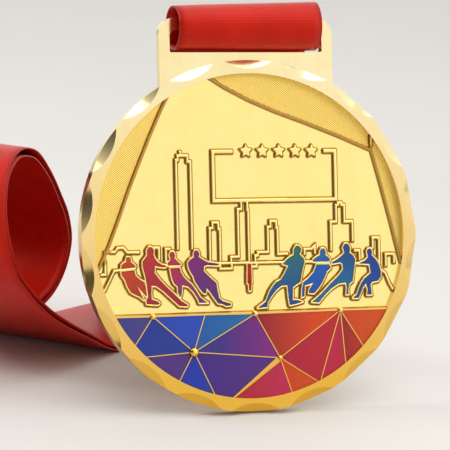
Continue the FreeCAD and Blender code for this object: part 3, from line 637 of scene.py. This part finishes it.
BOX_TOP, BOX_LOW, BOX_SIDE = 1.6, 8.2, 12.0
corners = [(-BOX_SIDE, BOX_TOP), (BOX_SIDE, BOX_TOP), (BOX_SIDE, BOX_LOW), (-BOX_SIDE, BOX_LOW)]
thread_runs = []
for k in range(4):
    thread_runs += stitch_run(corners[k], corners[(k + 1) % 4])
thread_runs += stitch_run(corners[0], corners[2]) + stitch_run(corners[1], corners[3])
vertices, faces_made = [], []
for a, b in thread_runs:
    run = unit(b - a)
    out = np.array([0.0, 1.0, 0.0])
    beside = unit(np.cross(run, out))
    first = len(vertices)
    for share_along, fat in ((0, 0.35), (0.25, 1.0), (0.75, 1.0), (1, 0.35)):
        middle = a + (b - a) * share_along
        for k in range(6):
            turn = math.pi / 3 * k
            vertices.append(middle + (beside * math.cos(turn) + out * math.sin(turn)) * 0.2 * fat)
    for ring in range(3):
        for k in range(6):
            n = (k + 1) % 6
            faces_made.append([first + ring * 6 + k, first + ring * 6 + n,
                               first + ring * 6 + 6 + n, first + ring * 6 + 6 + k])
    for ring in (0, 3):
        base_index = first + ring * 6
        faces_made.append([base_index, base_index + 1, base_index + 2, base_index + 3])
        faces_made.append([base_index, base_index + 3, base_index + 4, base_index + 5])
stitches = mesh_object("ribbon_stitches", np.array(vertices) / 1000, faces_made)
thread = Look("thread", Roughness=0.5, Specular_IOR_Level=0.4)
twist = thread.add("TexWave", 0, {"Vector": thread.place(), "Scale": 900.0},
                   bands_direction="DIAGONAL")
thread.set(thread.base, {"Base Color": thread.mix(twist, (0.26, 0.008, 0.005, 1),
                                                  (0.46, 0.02, 0.012, 1))})
stitches.data.materials.append(thread.material)
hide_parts("ribbon_stitch_patch")
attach(stitches, "ribbon")

# --------------------------------------------------------------- stage and light
FLOOR_HALF = 9.0
floor = mesh_object("floor", [(-FLOOR_HALF, -FLOOR_HALF, 0), (FLOOR_HALF, -FLOOR_HALF, 0),
                              (FLOOR_HALF, FLOOR_HALF, 0), (-FLOOR_HALF, FLOOR_HALF, 0)],
                    [[0, 1, 2, 3]], smooth=False)
paper = Look("paper", Roughness=0.62, Specular_IOR_Level=0.2)
mottle = paper.noise(9, 4, 0.5)
pale_floor = paper.mix(mottle, (0.62, 0.61, 0.59, 1), (0.68, 0.67, 0.65, 1))
paper.set(paper.base, {"Base Color": pale_floor})
floor.data.materials.append(paper.material)

world = bpy.data.worlds.new("studio")
bpy.context.scene.world = world
world.use_nodes = True
sky = world.node_tree
backdrop = sky.nodes["Background"]
direction = sky.nodes.new("ShaderNodeTexCoord")
split = sky.nodes.new("ShaderNodeSeparateXYZ")
sky.links.new(direction.outputs["Generated"], split.inputs[0])
sideways_ramp = sky.nodes.new("ShaderNodeMapRange")
sky.links.new(split.outputs[0], sideways_ramp.inputs["Value"])
# The studio is bright all round except at the left, where the polished facets find
# something dark to reflect.
for key, value in {"From Min": -0.74, "From Max": -0.22, "To Min": 0.05, "To Max": 1.0}.items():
    sideways_ramp.inputs[key].default_value = value
sky.links.new(sideways_ramp.outputs[0], backdrop.inputs["Strength"])
backdrop.inputs["Color"].default_value = (1.0, 0.985, 0.96, 1)


def area_light(name, place, target, size, watts, colour=(1, 1, 1)):
    """A square soft light, aimed from one place at another."""
    lamp = bpy.data.lights.new(name, "AREA")
    lamp.size = size
    lamp.energy = watts
    lamp.color = colour
    thing = bpy.data.objects.new(name, lamp)
    thing.location = place
    thing.rotation_mode = "QUATERNION"
    thing.rotation_quaternion = (Vector(target) - Vector(place)).to_track_quat("-Z", "Y")
    bpy.context.scene.collection.objects.link(thing)


area_light("key", (0.10, -0.25, 0.85), (0, 0.02, 0.03), 1.0, 4.4, (1.0, 0.98, 0.95))
area_light("fill", (0.70, -0.42, 0.35), (0, 0.02, 0.03), 0.7, 0.9)
area_light("edge", (-0.55, 0.15, 0.45), (-0.02, 0.03, 0.03), 0.18, 1.5)

# --------------------------------------------------------------- camera
YAW, PITCH, ROLL = math.radians(17.88), math.radians(-0.55), math.radians(1.37)
DISTANCE = 503.0
# The disc's centre lies this far right of and below the camera's axis, in millimetres.
DISC_RIGHT, DISC_BELOW = 5.42, 2.116
LENS = 202.3
rolled = np.array([[math.cos(ROLL), -math.sin(ROLL), 0], [math.sin(ROLL), math.cos(ROLL), 0],
                   [0, 0, 1]])
yawed = np.array([[math.cos(YAW), 0, math.sin(YAW)], [0, 1, 0],
                  [-math.sin(YAW), 0, math.cos(YAW)]])
pitched = np.array([[1, 0, 0], [0, math.cos(PITCH), -math.sin(PITCH)],
                    [0, math.sin(PITCH), math.cos(PITCH)]])
view_axes = pitched @ yawed @ rolled
place_in_art = view_axes.T @ np.array([-DISC_RIGHT, DISC_BELOW, DISTANCE])
camera_axes = view_axes @ ART_AXES
camera_data = bpy.data.cameras.new("camera")
camera = bpy.data.objects.new("camera", camera_data)
bpy.context.scene.collection.objects.link(camera)
bpy.context.scene.camera = camera
camera_data.sensor_width = 36.0
camera_data.lens = LENS
camera_data.clip_start = 0.02
camera_data.clip_end = 20.0
pose = Matrix(camera_axes.T.tolist()).to_4x4()
pose.translation = Vector(to_row(place_in_art))
camera.matrix_world = pose
bpy.context.scene.view_settings.view_transform = "Standard"
